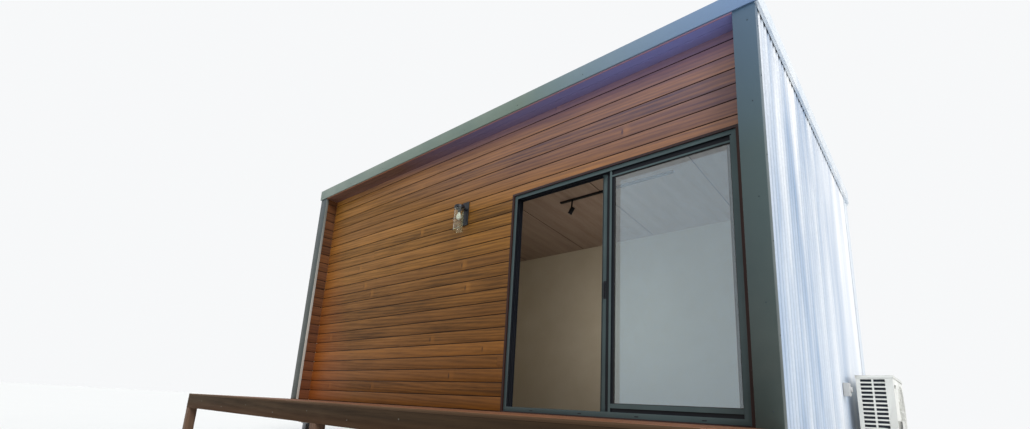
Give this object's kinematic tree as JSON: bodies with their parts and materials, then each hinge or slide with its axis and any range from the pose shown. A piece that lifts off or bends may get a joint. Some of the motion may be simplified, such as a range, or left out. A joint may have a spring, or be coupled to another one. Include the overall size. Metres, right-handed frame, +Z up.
{
  "type": "garden office pod",
  "caption": "Small timber-fronted garden office with a metal surround, corrugated metal skin, mono-pitch roof, sliding glass door, wall light and raised timber deck.",
  "frame": {"origin": "middle of the pod's plan at ground level, on the underside of the middle stump's foot plate", "axes": "+X to the right along the front, +Y into the pod from the front, +Z up"},
  "size_m": [6.5446, 4.735, 3.67],
  "materials": {
    "cladding_timber": "oiled hardwood boards",
    "trim_timber": "oiled hardwood trim",
    "deck_timber": "oiled decking",
    "deck_frame_timber": "weathered hardwood",
    "framing_timber": "plain framing timber",
    "floor_boards": "satin floor boards",
    "ceiling_ply": "clear plywood",
    "wall_lining": "matt painted lining",
    "corrugated_metal": "corrugated zinc-alloy coated sheet",
    "plain_metal": "folded zinc-alloy coated sheet",
    "dark_flashing": "satin grey-green flashing",
    "dark_aluminium": "satin powder coat",
    "pier_steel": "galvanised steel",
    "bracket_steel": "galvanised steel",
    "door_glass": "clear glass",
    "lamp_glass": "clear glass",
    "lamp_opal": "opal glass",
    "black_hardware": "satin black",
    "unit_casing": "off-white enamel",
    "unit_dark": "dark moulded plastic"
  },
  "bodies": {
    "pod": {"stumps": "pier_steel", "bearers": "framing_timber", "floor_joists": "framing_timber", "floor": "floor_boards", "left_wall": "wall_lining", "right_wall": "wall_lining", "rear_wall": "wall_lining", "front_wall_left": "wall_lining", "front_wall_over_door": "wall_lining", "front_wall_right": "wall_lining", "boards_left": "cladding_timber", "boards_over_door": "cladding_timber", "boards_right": "cladding_timber", "return_boards": "cladding_timber", "soffit": "cladding_timber", "roof_timbers": "framing_timber", "ceiling": "ceiling_ply", "roof_sheets": "corrugated_metal", "left_sheets": "corrugated_metal", "right_sheets": "corrugated_metal", "rear_sheets": "corrugated_metal", "fascia": "dark_flashing", "front_corner_flashings": "dark_flashing", "rear_corner_flashings": "plain_metal", "barges": "plain_metal", "gutter": "plain_metal", "downpipe": "plain_metal", "door_frame": "dark_aluminium", "door_trim": "trim_timber", "fixed_panel": "dark_aluminium", "fixed_glass": "door_glass", "deck_boards": "deck_timber", "deck_frame": "deck_frame_timber", "deck_posts": "deck_frame_timber", "wall_light": "black_hardware", "wall_light_glass": "lamp_glass", "wall_light_bulb": "lamp_opal", "track_light": "black_hardware", "outdoor_unit": "unit_casing", "unit_fan": "unit_dark", "unit_brackets": "bracket_steel", "isolator": "unit_casing"},
    "sliding_leaf": {"sliding_panel": "dark_aluminium", "sliding_glass": "door_glass", "door_handles": "black_hardware"}
  },
  "joints": [
    {"name": "door_slide", "type": "slide", "parent": "pod", "child": "sliding_leaf", "axis": [-1, 0, 0], "range_m": [0, 0.966]}
  ]
}
